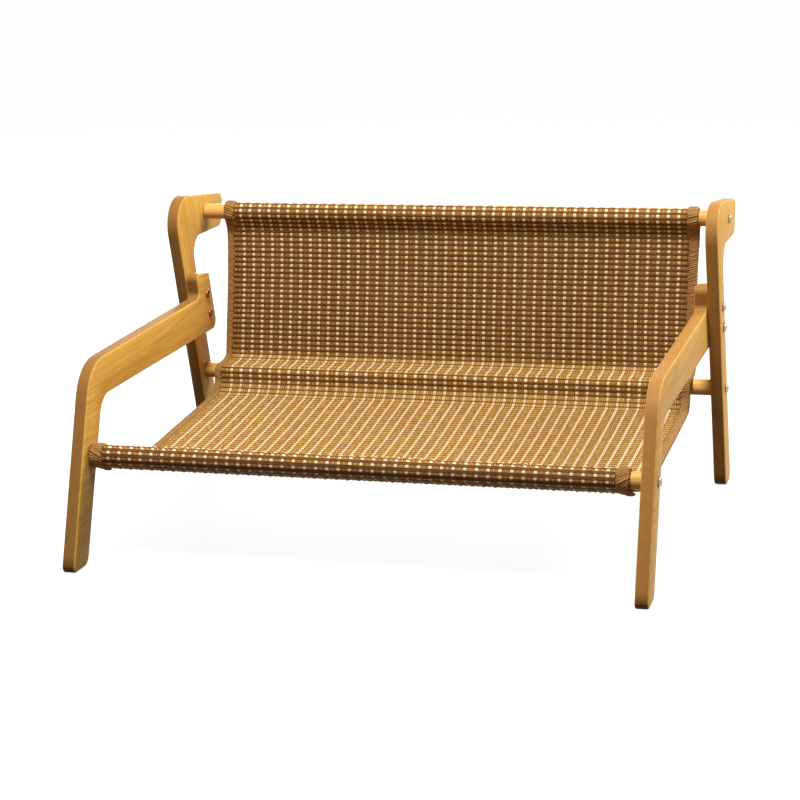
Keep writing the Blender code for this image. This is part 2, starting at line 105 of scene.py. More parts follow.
# Each wooden node's direction of the grain, and the place in the noise from which it is cut
ALONG_ARM = (0, 1, 0.02)
ALONG_POST = (0, -0.275, 1)
ALONG_RAIL = (1, 0, 0)
GRAIN = {
    "left_arm_board": (ALONG_ARM, (0.3, 0.1, 0.7)),
    "right_arm_board": (ALONG_ARM, (1.3, 2.1, 0.2)),
    "left_back_post": (ALONG_POST, (2.3, 0.6, 1.7)),
    "right_back_post": (ALONG_POST, (3.1, 1.4, 0.9)),
    "top_rail": (ALONG_RAIL, (0.5, 3.1, 0.3)),
    "middle_rail": (ALONG_RAIL, (1.5, 2.2, 3.3)),
    "front_rail": (ALONG_RAIL, (2.5, 1.1, 2.3)),
}

# Fasteners
STEEL_TONE = (172, 164, 146)
BRONZE_TONE = (160, 100, 56)
STEEL_ROUGHNESS = 0.38
BRONZE_ROUGHNESS = 0.26
BLOTCH_CELLS = 900.0
BLOTCH_RANGE = (0.45, 0.75)
BLOTCH_SHADE = 0.72
BLOTCH_ROUGHNESS = 0.22
TURNING_CELLS = (60, 2500, 2500)
TURNING_BUMP = (0.12, 0.0002)
HEADS = {"steel": (0.0027, 0.0025), "brass": (0.0022, 0.0035)}   # height of the head, radius of the shank
HEAD_SIDES = 48
HEAD_STEP = 0.0001           # shank's start below the head
HEAD_RIM = ((0.97, 1.0), (1.0, 0.9))     # shares of the head's radius and of its height
HEAD_DOME = 0.72             # share of the head's height
DOME_STEPS = 6
HEAD_FLAT = 0.56             # share of the head's radius
TIP = (0.7, 0.0008)          # chamfer at the shank's end: share of its radius, and length
DRIVE = 0.00155              # hexagonal socket: half its width across the flats
DRIVE_DEPTH = 0.0016
DRIVE_LIP = ((1.18, 0.0), (1.04, 0.00012), (1.0, 0.0003))    # its edge: shares of DRIVE, and depths
DRIVE_POINT = 1.15           # depth of its middle, as a share of DRIVE_DEPTH
SMOOTH_ANGLE = 40            # degrees between faces that are shaded as one

# Cords: the plain colour and the darker one, from 0 to 255
CREAM_TONES = (252, 226, 178), (243, 210, 158)
BROWN_TONES = (208, 157, 76), (166, 115, 50)
WEFT_TONES = (118, 75, 30), (92, 56, 21)
HEM_TONES = (162, 119, 66), (136, 96, 50)
# Painted shade in the dips between a cord's beads, where the rows shadow each other
CREAM_DIP_SHADE = (80, 43, 13)
BROWN_DIP_SHADE = (58, 29, 6)
CREAM_SEAT_SHADE = (0.76, 0.70, 0.67)  # linear factors on the ledge and the seat: painted shade that dims the light cords where they face the light from above
# Linear factors that make the brown cords paler on the ledge and the seat
BROWN_SEAT_TINT = (0.96, 1.10, 1.16)
BROWN_FLANK_SHADE = 0.36           # share of painted shade on the outer cords of a group, which lie deeper
FLANK_SHADE_EASE = 0.7             # share of that painted shade which the ledge and the seat lose, facing the light from above
UNSHADED_MIDDLE = 0.53             # middle of the part of each row that the painted dip shade leaves clear, in rows; a little past a bead's top, which is at 0.5
DIP_SHADE = (0.22, 0.31, 0.95)   # painted dip shade: starts and is full so many rows off that middle
SEAT_SHADE_NARROWS = 0.085          # rows by which the painted dip shade narrows on the ledge and the seat, which face the light from above
FRONT_SHADE_WIDENS = 0.07           # and by which it widens round the front rail, where the roll is in shade
BEND_BLUR = 0.4              # rows before and after a bend in which the one turns into the other
PLY_TURNS = (4.0, 3.0)       # twists round one cord and along one row
# Painted shade in the grooves between the plies
PLY_GROOVE_SHADE = (0.35, 1.0, 0.30)
PLY_BUMP = 0.5               # share of the twist in the bump
SHADOW_SHADE = 0.62          # painted shadow, as a share of the darker colour: in the grooves between the plies and on the cords beside a group's middle cord
FIBRE_CELLS = 1500.0
FIBRE_STAIN = (0.50, 0.72, 0.42)
FIBRE_SHADE = 0.74
TONE_CELLS = 190.0
TONE_RANGE = (0.35, 0.68)
TONE_SHARE = 0.4             # of the plain colour that the noise gives
CHANCE_SHARE = 0.6           # and that differs from bead to bead
CORD_ROUGHNESS = 0.82
CORD_SHINE = 0.25
CORD_BUMP = (0.55, 0.00035)

# Boards, rails and inserts, which keep their solids
WELD_REACH = 0.00001
EDGE_ANGLE = 35              # degrees between faces that meet in a sharp edge

# Sling, across
STRIPE_STEP = 0.01115        # from one light stripe to the next
LIGHT_STRIPES = 45
LIGHT_HALF_WIDTH = 0.0019
BROWN_HALF_WIDTH = 0.00122
BROWN_STEP = 0.00236         # between the brown cords of one group
BROWN_CORDS = 3
BROWN_HEIGHTS = (0.42, 0.90, 0.42)   # their beads against the light ones
STRIPE_INSET = 0.0202        # first light stripe in from the mat's left edge
TOP_BARE = (0.0247, 0.0177)      # bare rail left and right of the mat, at the top
SEAT_BARE = (0.0027, 0.0077)     # mat's edges to the arm boards, at the seat
FRONT_BARE = (0.0007, 0.0117)    # mat's edges to the arm boards, at the front
WAIST = (0.0, 0.0014)            # how far the edges draw in half way down the back
CLOTH_INSET = 0.0012         # ground cloth in from the mat's edges
CLOTH_COLUMNS = 25
CLOTH_RINGS = 6              # in a row

# Sling, along
ROW = 0.00584                # from one ridge to the next
BEAD_FACE = 0.00165          # beads above the mat's middle surface, on its face
BEAD_BACK = 0.00090          # and on its back
DIP = 0.00016                # half the thickness of a cord where it dives between two beads
WEFT = 0.00024               # half the thickness of the wefts
WEFT_GAP = 0.00012           # and of the cloth between them
RAIL_GAP = 0.0002            # mat to rail
TUNNEL_REACH = 0.0141        # seam beyond the rail's surface
TOP_SEAM_ANGLE = -92.0       # degrees from +y towards +z
FRONT_SEAM_ANGLE = -38.0
LOOP_POINTS = 14
CURVE_STEPS = 14             # points on the path from one of its given points to the next
FLAP = 0.010                 # mat beyond each seam, behind the other layer
FLAP_STEP = 0.0030           # flap's middle to the other layer's
FRONT_FLAP_WAY = (-0.3, -0.95)   # the way from that layer to the front flap
FRONT_FLAP_TURN = 12         # degrees from the front seam's direction
PERCH_ANGLE = 104.0          # where the ledge lies on the middle rail, degrees as above
TREAD_FRONT = 0.0185         # ledge before and behind the middle rail's axis
TREAD_BACK = 0.0145
TREAD_BACK_RISE = 0.0020
TREAD_BEND = 0.0060          # size of the bend behind the ledge
TREAD_LIP = 0.0028           # and of the bend in front of it
RISER_HEIGHT = 0.0165
RISER_LEAN = 0.0030
SEAT_BACK = (0.0125, 0.0115)     # from the riser's foot, where the seat curves away forwards and down
SEAT_BACK_SAG = 0.0010
SEAT_LOW_DROP = 0.0328       # lowest point of the seat below the front rail's axis, and behind it
SEAT_LOW_BEHIND = 0.0950
MIDDLE_SAG = 0.0080          # further sag half way across

# Sling, cords in detail
LIGHT_PHASES = (0.0, 0.25, 0.5, 0.75)    # rings of points in a row
BROWN_PHASES = (0.0, 0.3, 0.7)
LIGHT_CORNERS = 8
BROWN_CORNERS = 6
LIGHT_PIECES = 2
BROWN_PIECES = 4
BROWN_PIECE_CORDS = 36
BEAD_POWER = 1.5             # of the sine along a bead
ROUND_POWER = 0.7            # of the sine round a cord, so that it has a broader top
NECK_WIDTH = 0.80            # of a cord between two beads
BEAD_WIDTH = 0.20            # what a bead adds to it
BEAD_SPREAD = (-0.10, 0.05)  # between the beads' heights
WIDTH_SPREAD = 0.05
SIDE_SPREAD = 0.00007
LIGHT_SEED = 11
BROWN_SEED = 21

# Sling, hems
HEM_WIDTH = (0.0074, 0.0096)         # at the left edge and at the right edge
HEM_ROLL_WIDTH = (0.0115, 0.0125)    # round the top rail and round the front rail
HEM_ROLL_EASE = 0.01         # run in which one width turns into the other
HEM_RIB = 0.00062            # radius of a rib
HEM_RIB_SUNK = 0.8           # how far a rib's radius sinks into the beads
HEM_RIB_SIDES = 5
HEM_RIBS_PER_ROW = 2.4
HEM_START = 0.7              # first rib, in rib steps
HEM_OVERLAP = 0.66           # half a rib's width along the edge, in rib steps
HEM_SLANT = 0.0026
HEM_ROLL_SLANT = 1.2         # what the front rail adds to the slant
HEM_SWELL = 0.0009           # how far it stands out further round the rails
HEM_PLAIN_SWELL = 0.35       # share of that away from the rails
HEM_STEP_SPREAD = 0.00010
HEM_SWELL_SPREAD = (0.7, 1.2)
HEM_WIDTH_SPREAD = 0.06
HEM_RIB_SPREAD = 0.12
HEM_MAP_STEP = 0.25
HEM_SEEDS = (15, 16)
HEM_PROFILE = (              # a rib round the edge: share of the width inwards, and of the height
    (0.0, 0.0), (0.10, 0.85), (0.30, 1.15), (0.60, 1.10), (0.90, 0.90), (1.0, 0.35),
    (1.0, -0.35), (0.90, -0.90), (0.60, -1.0), (0.30, -1.0), (0.10, -0.75),
)

# Sling, stitches
STITCH_STEP = 0.0056
STITCH_LENGTH = 0.0044
STITCH_RADIUS = 0.0004
STITCH_LIFT = 0.0002         # above the wefts
STITCH_BORDER = 0.003        # bare mat beside the row
STITCH_SIDES = 6
STITCH_ALONG = (0, 0.15, 0.5, 0.85, 1)       # a stitch's bow: shares of its length
STITCH_RISE = (-0.9, 0.1, 0.55, 0.1, -0.9)   # and its height there, in radii


def point_camera():
    right0 = Vector((math.cos(YAW), math.sin(YAW), 0))
    level = Vector((-math.sin(YAW), math.cos(YAW), 0))
    up0 = Vector((0, 0, 1))
    forward = level * math.cos(PITCH) - up0 * math.sin(PITCH)
    up1 = level * math.sin(PITCH) + up0 * math.cos(PITCH)
    right = right0 * math.cos(ROLL) + up1 * math.sin(ROLL)
    up = up1 * math.cos(ROLL) - right0 * math.sin(ROLL)
    data = bpy.data.cameras.new("camera")
    data.sensor_width = SENSOR_MM
    data.lens = FOCAL_PIXELS / IMAGE_PIXELS * SENSOR_MM
    data.clip_end = CLIP_END
    camera = bpy.data.objects.new("camera", data)
    turn = Matrix((right, up, -forward)).transposed().to_4x4()
    camera.matrix_world = Matrix.Translation(EYE) @ turn
    bpy.context.scene.collection.objects.link(camera)
    bpy.context.scene.camera = camera


def srgb(colour, share=1.0):
    """A share of a colour given as 0 to 255, as the linear values that a shader takes."""
    def linear(c):
        c /= 255
        return c / 12.92 if c <= 0.04045 else ((c + 0.055) / 1.055) ** 2.4
    return (*(linear(c * share) for c in colour), 1.0)


class Nodes:
    """A node tree, of a new material or of the world, built by short calls."""

    def __init__(self, name, world=None):
        self.material = world or bpy.data.materials.new(name)
        self.material.use_nodes = True
        self.tree = self.material.node_tree
        self.shader = self.tree.nodes["Background" if world else "Principled BSDF"]

    def add(self, kind, inputs=None, **settings):
        node = self.tree.nodes.new(kind)
        for key, value in settings.items():
            setattr(node, key, value)
        for key, value in (inputs or {}).items():
            self.put(node.inputs[key], value)
        return node

    def put(self, socket, value):
        if isinstance(value, bpy.types.NodeSocket):
            self.tree.links.new(value, socket)
        else:
            socket.default_value = value

    def math(self, operation, first, second=0.0, third=0.0, clamp=False):
        inputs = {0: first, 1: second, 2: third}
        return self.add("ShaderNodeMath", inputs, operation=operation, use_clamp=clamp).outputs[0]

    def times(self, first, second):
        return self.math("MULTIPLY", first, second)

    def mix(self, share, first, second, blend="MIX"):
        node = self.add("ShaderNodeMix", data_type="RGBA", blend_type=blend)
        self.put(node.inputs[0], share)
        self.put(node.inputs[6], first)
        self.put(node.inputs[7], second)
        return node.outputs[2]

    def ramp(self, value, ends):
        """0 to 1 as the value goes from the first end to the second, smoothly."""
        inputs = {0: value, 1: ends[0], 2: ends[1]}
        return self.add("ShaderNodeMapRange", inputs, interpolation_type="SMOOTHSTEP").outputs[0]

    def stain_or_shade(self, body, value, stain_or_shade, tone):
        """The body with a tone over it where the value is high, for a stain and for painted shade alike.
        The tuple is (start, full, share).
        """
        start, full, share = stain_or_shade
        return self.mix(self.times(self.ramp(value, (start, full)), share), body, tone)

    def mapping(self, vector, **changes):
        """A vector moved, turned and scaled."""
        inputs = {"Vector": vector}
        inputs.update({key.capitalize(): value for key, value in changes.items()})
        return self.add("ShaderNodeMapping", inputs).outputs[0]

    def noise(self, vector, scale=1.0, detail=3.0, roughness=0.5):
        inputs = {"Vector": vector, "Scale": scale, "Detail": detail, "Roughness": roughness}
        return self.add("ShaderNodeTexNoise", inputs).outputs["Fac"]

    def bump(self, height, bump):
        """A normal from a height. The bump is (strength, distance)."""
        inputs = {"Height": height, "Strength": bump[0], "Distance": bump[1]}
        return self.add("ShaderNodeBump", inputs).outputs[0]


def wood(name, along, offset, tones, edge_shade_tone=None):
    """Lacquered wood whose grain runs along one direction, with painted shade on a board's edges and on
    its feet near the floor.
    """
    n = Nodes(name)
    colour, dark = tones
    spin = Vector(along).normalized().rotation_difference(Vector((1, 0, 0))).to_euler()
    place = n.add("ShaderNodeTexCoord").outputs["Object"]
    turned = n.mapping(place, location=offset, rotation=tuple(spin))
    pores = n.noise(n.mapping(turned, scale=PORE_CELLS), detail=4.0, roughness=0.6)
    bands = n.noise(n.mapping(turned, scale=BAND_CELLS), detail=3.0, roughness=0.55)
    patches = n.noise(turned, PATCH_CELLS, detail=2.0)
    body = n.mix(n.ramp(bands, BAND_RANGE), srgb(dark), srgb(colour))
    body = n.stain_or_shade(body, pores, PORE_STAIN, srgb(dark, PORE_SHADE))
    body = n.stain_or_shade(body, patches, PATCH_STAIN, srgb(dark))
    if edge_shade_tone:
        # Painted shade on a board's edges, which take less of the light from the right
        normal = n.add("ShaderNodeNewGeometry").outputs["Normal"]
        facing = n.math("ABSOLUTE", n.add("ShaderNodeSeparateXYZ", {0: normal}).outputs["X"])
        edge_shade = n.math("SUBTRACT", 1.0, n.ramp(facing, EDGE_FACING))
        body = n.mix(n.times(edge_shade, EDGE_SHADE_SHARE), body, srgb(edge_shade_tone))
        # Painted shade on the feet's edges, near the floor
        height = n.add("ShaderNodeSeparateXYZ", {0: place}).outputs["Z"]
        foot_shade = n.times(n.math("SUBTRACT", 1.0, n.ramp(height, FOOT_SHADE_HEIGHTS)), edge_shade)
        body = n.mix(n.times(foot_shade, FOOT_SHADE_SHARE), body, srgb(FOOT_SHADE_TONE))
    n.put(n.shader.inputs["Base Color"], body)
    n.put(n.shader.inputs["Roughness"], n.math("MULTIPLY_ADD", pores, *WOOD_ROUGHNESS))
    relief = n.math("ADD", pores, n.times(bands, BAND_BUMP))
    n.put(n.shader.inputs["Normal"], n.bump(relief, WOOD_BUMP))
    n.shader.inputs["Specular IOR Level"].default_value = LACQUER_SHINE
    return n.material


def metal(name, colour, roughness):
    """Plated metal with faint blotches and turning marks."""
    n = Nodes(name)
    place = n.add("ShaderNodeTexCoord").outputs["Object"]
    blotch = n.noise(place, BLOTCH_CELLS)
    lines = n.noise(n.mapping(place, scale=TURNING_CELLS), detail=2.0)
    body = n.mix(n.ramp(blotch, BLOTCH_RANGE), srgb(colour), srgb(colour, BLOTCH_SHADE))
    n.put(n.shader.inputs["Base Color"], body)
    n.shader.inputs["Metallic"].default_value = 1.0
    n.put(n.shader.inputs["Roughness"], n.math("MULTIPLY_ADD", blotch, BLOTCH_ROUGHNESS, roughness))
    n.put(n.shader.inputs["Normal"], n.bump(lines, TURNING_BUMP))
    return n.material


def cord(name, tones, dip_shade=None, bends=None, flank_shade=0.0, seat_shade_and_tint=(1.0, 1.0, 1.0)):
    """Twisted paper cord with painted shade in the grooves between its plies; beaded, with painted shade
    in the dips between the beads, if bends are given. The map's u counts the cords, its v the ridges.
    """
    n = Nodes(name)
    colour, dark = tones
    shadow = srgb(dark, SHADOW_SHADE)
    flat = n.add("ShaderNodeUVMap", uv_map="weave").outputs[0]
    parts = n.add("ShaderNodeSeparateXYZ", {0: flat})
    across, rows = parts.outputs["X"], parts.outputs["Y"]
    number = n.math("FLOOR", across)
    place = n.add("ShaderNodeTexCoord").outputs["Object"]
    cell = n.add("ShaderNodeCombineXYZ", {0: number, 1: n.math("FLOOR", rows), 2: 0.0}).outputs[0]
    chance = n.add("ShaderNodeTexWhiteNoise", {"Vector": cell}).outputs["Value"]
    turns = n.math("ADD", n.times(across, PLY_TURNS[0]), n.times(rows, PLY_TURNS[1]))
    ply = n.math("SINE", n.times(turns, math.tau))
    fibres = n.noise(place, FIBRE_CELLS, roughness=0.6)
    tone = n.ramp(n.noise(place, TONE_CELLS, detail=2.0), TONE_RANGE)
    shade = n.math("ADD", n.times(tone, TONE_SHARE), n.times(chance, CHANCE_SHARE))
    body = n.mix(shade, srgb(dark), srgb(colour))
    body = n.stain_or_shade(body, fibres, FIBRE_STAIN, srgb(dark, FIBRE_SHADE))
    # Painted shade in the grooves between the plies
    body = n.stain_or_shade(body, n.times(ply, -1.0), PLY_GROOVE_SHADE, shadow)
    if bends:
        body = beads(n, body, number, rows, bends, srgb(dip_shade), shadow, flank_shade, seat_shade_and_tint)
    n.put(n.shader.inputs["Base Color"], body)
    n.shader.inputs["Roughness"].default_value = CORD_ROUGHNESS
    n.shader.inputs["Specular IOR Level"].default_value = CORD_SHINE
    relief = n.math("ADD", n.times(ply, PLY_BUMP), fibres)
    n.put(n.shader.inputs["Normal"], n.bump(relief, CORD_BUMP))
    return n.material


def beads(n, body, number, rows, bends, dip_shade, shadow, flank_shade, seat_shade_and_tint):
    """The cord's colour with painted shade in the dips, where it dives between two ridges.

    The four bends are the rows where the ledge and then the seat begin and end. The painted dip shade
    narrows on both, which face the light from above, and widens a little after the fourth, round the
    front rail, where the roll is in shade. In groups of three the two outer cords lie deeper and take a
    share of painted shadow, given by the flank share. The last argument holds linear factors on the ledge
    and the seat: painted shade that dims the light cords there, and a paler tint for the brown ones.
    """
    past = [n.ramp(rows, (row - BEND_BLUR, row + BEND_BLUR)) for row in bends]
    ledge, seat = n.math("SUBTRACT", past[0], past[1]), n.math("SUBTRACT", past[2], past[3])
    # Ledge and seat, where the painted dip shade narrows and the painted flank shade eases
    closed = n.math("ADD", ledge, seat)
    # Rows off the middle of each row's unshaded part, for the painted dip shade
    off_middle = n.math("ABSOLUTE", n.math("SUBTRACT", n.math("FRACT", rows), UNSHADED_MIDDLE))
    off_middle = n.math("MULTIPLY_ADD", past[3], FRONT_SHADE_WIDENS, off_middle)
    off_middle = n.math("MULTIPLY_ADD", closed, -SEAT_SHADE_NARROWS, off_middle)
    # Painted shade on the outer cords of each group of three, less on the ledge and the seat
    outer = n.math("ABSOLUTE", n.math("SUBTRACT", n.math("MODULO", number, float(BROWN_CORDS)), 1.0))
    deeper = n.math("MULTIPLY_ADD", closed, -FLANK_SHADE_EASE * flank_shade, flank_shade)
    body = n.mix(n.times(outer, deeper), body, shadow)
    # On the ledge and the seat: painted shade on the light cords, a paler tint on the brown ones
    body = n.mix(closed, body, (*seat_shade_and_tint, 1.0), "MULTIPLY")
    # Painted shade in the dips between the beads
    return n.stain_or_shade(body, off_middle, DIP_SHADE, dip_shade)


def heading(degrees):
    return np.array((math.cos(math.radians(degrees)), math.sin(math.radians(degrees))))


def ease(share):
    share = np.clip(share, 0, 1)
    return share * share * (3 - 2 * share)


def rail_of(node):
    """A rail's axis in the side view, as (y, z), and its radius."""
    low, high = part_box(node)
    return np.array(((low.y + high.y) / 2, (low.z + high.z) / 2)), (high.z - low.z) / 2


def smooth_curve(points):
    """A curve through the points that keeps each bend local."""
    points = np.array(points)
    spans = np.diff(points, axis=0)
    lengths = np.linalg.norm(spans, axis=1)
    slopes = [spans[0] / 2]
    for i in range(1, len(points) - 1):
        chord = points[i + 1] - points[i - 1]
        slopes.append(chord / np.linalg.norm(chord) * min(lengths[i - 1], lengths[i]))
    slopes.append(spans[-1] / 2)
    t = np.linspace(0, 1, CURVE_STEPS, endpoint=False)[:, None]
    pieces = []
    for i in range(len(spans)):
        pieces.append(
            points[i] * (2 * t ** 3 - 3 * t ** 2 + 1)
            + slopes[i] * (t ** 3 - 2 * t ** 2 + t)
            + points[i + 1] * (3 * t ** 2 - 2 * t ** 3)
            + slopes[i + 1] * (t ** 3 - t ** 2)
        )
    return np.vstack(pieces + [points[-1:]])


class Mat:
    """The sling's middle surface: a side path from the top flap to the front flap, carried across."""

    def __init__(self):
        top, radius = rail_of("top_rail")
        middle, _ = rail_of("middle_rail")
        front, _ = rail_of("front_rail")
        self.post_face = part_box("right_back_post")[0].x
        self.arm_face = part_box("right_arm_board")[0].x
        wrap = radius + RAIL_GAP + BEAD_BACK
        seam = radius + TUNNEL_REACH
        half_wedge = 90 - math.degrees(math.asin(wrap / seam))

        def loop(axis, seam_angle):
            angles = np.linspace(seam_angle + half_wedge, seam_angle + 360 - half_wedge, LOOP_POINTS)
            return [axis + heading(angle) * wrap for angle in angles]

        top_seam = top + heading(TOP_SEAM_ANGLE) * seam
        top_step = np.array((FLAP_STEP, 0))
        front_seam = front + heading(FRONT_SEAM_ANGLE) * seam
        front_step = np.array(FRONT_FLAP_WAY) * FLAP_STEP
        tread_back = middle + (TREAD_BACK, wrap + TREAD_BACK_RISE + TREAD_BEND)
        riser_top = middle + (-TREAD_FRONT, wrap - TREAD_LIP)
        riser_foot = riser_top - (RISER_LEAN, RISER_HEIGHT)
        seat_back = riser_foot - SEAT_BACK
        seat_low = front + (SEAT_LOW_BEHIND, -SEAT_LOW_DROP)
        self.path = smooth_curve([
            top_seam + heading(TOP_SEAM_ANGLE) * FLAP + top_step,
            top_seam + top_step,
            *loop(top, TOP_SEAM_ANGLE),
            top_seam,
            tread_back,
            middle + (TREAD_BACK - TREAD_BEND, wrap + TREAD_BACK_RISE),
            middle + heading(PERCH_ANGLE) * wrap,
            riser_top,
            riser_foot,
            seat_back,
            (seat_back + seat_low) / 2 - (0, SEAT_BACK_SAG),
            seat_low,
            front_seam,
            *loop(front, FRONT_SEAM_ANGLE),
            front_seam + front_step,
            front_seam + front_step + heading(FRONT_SEAM_ANGLE + FRONT_FLAP_TURN) * FLAP,
        ])
        self.run = np.r_[0, np.cumsum(np.linalg.norm(np.diff(self.path, axis=0), axis=1))]
        self.way = np.gradient(self.path, self.run, axis=0)
        self.way /= np.linalg.norm(self.way, axis=1)[:, None]
        self.length = self.run[-1]
        self.top_seam = self.run_at(top_seam)
        self.tread = self.run_at(tread_back)
        self.ledge = self.run_at(riser_top)
        self.riser = self.run_at(riser_foot)
        self.front_seam = self.run_at(front_seam)
        self.top_loop = self.top_seam - self.run_at(top_seam + top_step)
        self.front_loop = self.run_at(front_seam + front_step) - self.front_seam

    def run_at(self, point):
        return self.run[np.linalg.norm(self.path - point, axis=1).argmin()]

    def edges(self, s):
        """x of the mat's left and right edges at each run along it."""
        flap = self.top_seam - self.top_loop
        s = np.where(s < flap, self.top_seam + flap - s, s)
        panel = np.clip((s - self.top_seam) / (self.tread - self.top_seam), 0, 1)
        upper = ease((s - self.top_seam) / (self.riser - self.top_seam))
        lower = ease((s - self.riser) / (self.front_seam - self.riser))
        found = []
        for side, top, seat, front, waist in zip((-1, 1), TOP_BARE, SEAT_BARE, FRONT_BARE, WAIST):
            at_top = side * (self.post_face - top)
            at_seat = side * (self.arm_face - seat)
            at_front = side * (self.arm_face - front)
            straight = at_top + (at_seat - at_top) * upper + (at_front - at_seat) * lower
            found.append(straight - side * waist * np.sin(np.pi * panel))
        return found

    def round_rail(self, s):
        """1 where the mat goes round the top rail, 0 away from it, and the same for the front rail."""
        def between(past_start, before_end):
            return np.clip(past_start / HEM_ROLL_EASE, 0, 1) * np.clip(before_end / HEM_ROLL_EASE, 0, 1)
        top = between(s - self.top_seam + self.top_loop, self.top_seam - s)
        front = between(s - self.front_seam, self.front_seam + self.front_loop - s)
        return top, front

    def frames(self, s):
        """y and z of the path, and its outward direction, at each run along it."""
        y = np.interp(s, self.run, self.path[:, 0])
        z = np.interp(s, self.run, self.path[:, 1])
        wy = np.interp(s, self.run, self.way[:, 0])
        wz = np.interp(s, self.run, self.way[:, 1])
        size = np.hypot(wy, wz)
        return y, z, wz / size, -wy / size

    def place(self, x, s, lift=0.0):
        """Points at x and at runs s along the mat, raised outwards from its middle by lift."""
        x, s, lift = np.broadcast_arrays(x, s, lift)
        y, z, ny, nz = self.frames(s)
        left, right = self.edges(s)
        share = np.clip((x - left) / (right - left), 0, 1)
        forward = np.clip((s - self.riser) / (self.front_seam - self.riser), 0, 1)
        drop = MIDDLE_SAG * np.sin(np.pi * forward) ** 2 * np.sin(np.pi * share)
        return np.stack((x, y + ny * lift, z + nz * lift - drop), axis=-1)


def add_mesh(name, points, faces, material, corner_map=()):
    """One piece of the sling from arrays of points and quads.

    The map gives the corners of the first faces, and the faces after them lie at its origin.
    """
    points = np.reshape(points, (-1, 3))
    faces = np.asarray(faces, np.int32)
    corner_map = np.reshape(corner_map, (-1, 2))
    uvs = np.zeros((faces.size, 2), np.float32)
    uvs[:len(corner_map)] = corner_map
    mesh = bpy.data.meshes.new(name)
    mesh.vertices.add(len(points))
    mesh.vertices.foreach_set("co", np.ascontiguousarray(points, np.float32).ravel())
    mesh.loops.add(faces.size)
    mesh.loops.foreach_set("vertex_index", faces.ravel())
    mesh.polygons.add(len(faces))
    mesh.polygons.foreach_set("loop_start", np.arange(0, faces.size, faces.shape[1], dtype=np.int32))
    mesh.polygons.foreach_set("use_smooth", np.full(len(faces), True))
    mesh.uv_layers.new(name="weave").data.foreach_set("uv", uvs.ravel())
    mesh.update(calc_edges=True)
    mesh.validate()
    mesh.materials.append(material)
    made = bpy.data.objects.new(name, mesh)
    bpy.context.scene.collection.objects.link(made)
    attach(made, "root")
    return made


def tubes(rings, closed=False):
    """Quads of tubes from rings[tube, ring, side], and the index of each point.

    A closed tube's last ring joins its first. An open one has no ends yet.
    """
    count, length, sides = rings.shape[:3]
    index = np.arange(count * length * sides).reshape(count, length, sides)
    after = np.roll(index, -1, axis=1) if closed else index[:, 1:]
    here = index if closed else index[:, :-1]
    quads = np.stack((here, np.roll(here, -1, 2), np.roll(after, -1, 2), after), axis=-1)
    return quads, index


def tube_map(turn, along, sides):
    """Map of open tubes by face corner, from the values of turn and along at each point."""
    here = np.stack((turn[:, :-1], along[:, :-1]), -1)
    after = np.stack((turn[:, :-1], along[:, 1:]), -1)
    step = np.array((1 / sides, 0))
    return np.stack((here, here + step, after + step, after), axis=-2)


def beaded_cords(name, mat, places, half_width, material, seed, phases, corners, heights=(1.0,)):
    """Cords of the mat's whole length, which bead up between two wefts and dive under the next."""
    rng = np.random.default_rng(seed)
    rows = int(mat.length / ROW)
    rings = np.r_[(np.arange(rows)[:, None] + phases).ravel(), rows]
    s = rings * ROW
    bead = np.sin(np.pi * (rings % 1)) ** BEAD_POWER
    angle = np.arange(corners) * math.tau / corners
    rise = np.sign(np.sin(angle)) * np.abs(np.sin(angle)) ** ROUND_POWER
    left, right = mat.edges(s)
    made = []
    for number, share in enumerate(places):
        sizes = np.repeat(1 + rng.uniform(*BEAD_SPREAD, rows), len(phases))
        sizes = np.r_[heights[number % len(heights)] * sizes, 1]
        high = DIP + (BEAD_FACE - DIP) * bead * sizes
        low = DIP + (BEAD_BACK - DIP) * bead * sizes
        tall = np.where(rise > 0, high[:, None], low[:, None]) * rise
        wide = half_width * (NECK_WIDTH + BEAD_WIDTH * bead)
        wide = wide * (1 + rng.uniform(-WIDTH_SPREAD, WIDTH_SPREAD, len(s)))
        x = left + (right - left) * share + rng.normal(0, SIDE_SPREAD, len(s))
        made.append(mat.place(x[:, None] + wide[:, None] * -np.cos(angle), s[:, None], tall))
    made = np.array(made)
    quads, index = tubes(made)
    number = np.arange(len(places))[:, None, None] * 1.0
    turn = np.broadcast_to(number + np.arange(corners) / corners, index.shape)
    along = np.broadcast_to(rings[None, :, None], index.shape)
    ends = []
    for ring in (index[:, 0, ::-1], index[:, -1]):
        for i in range(0, corners - 2, 2):
            ends.append(ring[:, (0, i + 1, i + 2, i + 3)])
    faces = np.vstack((quads.reshape(-1, 4), *ends))
    return add_mesh(name, made, faces, material, tube_map(turn, along, corners))


def ground_cloth(mat, material):
    """The wefts, as one ribbed sheet in the middle of the mat."""
    rows = int(mat.length / ROW)
    rings = np.arange(rows * CLOTH_RINGS + 1) / CLOTH_RINGS
    s = rings * ROW
    rib = WEFT_GAP + (WEFT - WEFT_GAP) * np.cos(np.pi * rings) ** 2
    left, right = mat.edges(s)
    width = right - left - 2 * CLOTH_INSET
    x = (left + CLOTH_INSET)[:, None] + width[:, None] * np.linspace(0, 1, CLOTH_COLUMNS)
    upper = mat.place(x, s[:, None], rib[:, None])
    lower = mat.place(x, s[:, None], -rib[:, None])
    loop = np.concatenate((upper, lower[:, ::-1]), axis=1)[None]
    quads, index = tubes(loop)
    turn = np.broadcast_to(np.arange(2 * CLOTH_COLUMNS) / CLOTH_COLUMNS, index.shape)
    along = np.broadcast_to(rings[None, :, None], index.shape)
    ends = []
    for ring in (index[0, 0, ::-1], index[0, -1]):
        for i in range(CLOTH_COLUMNS - 1):
            ends.append((ring[i], ring[i + 1], ring[-2 - i], ring[-1 - i]))
    faces = np.vstack((quads.reshape(-1, 4), ends))
    return add_mesh("sling_weft_cloth", loop, faces, material, tube_map(turn, along, CLOTH_COLUMNS))


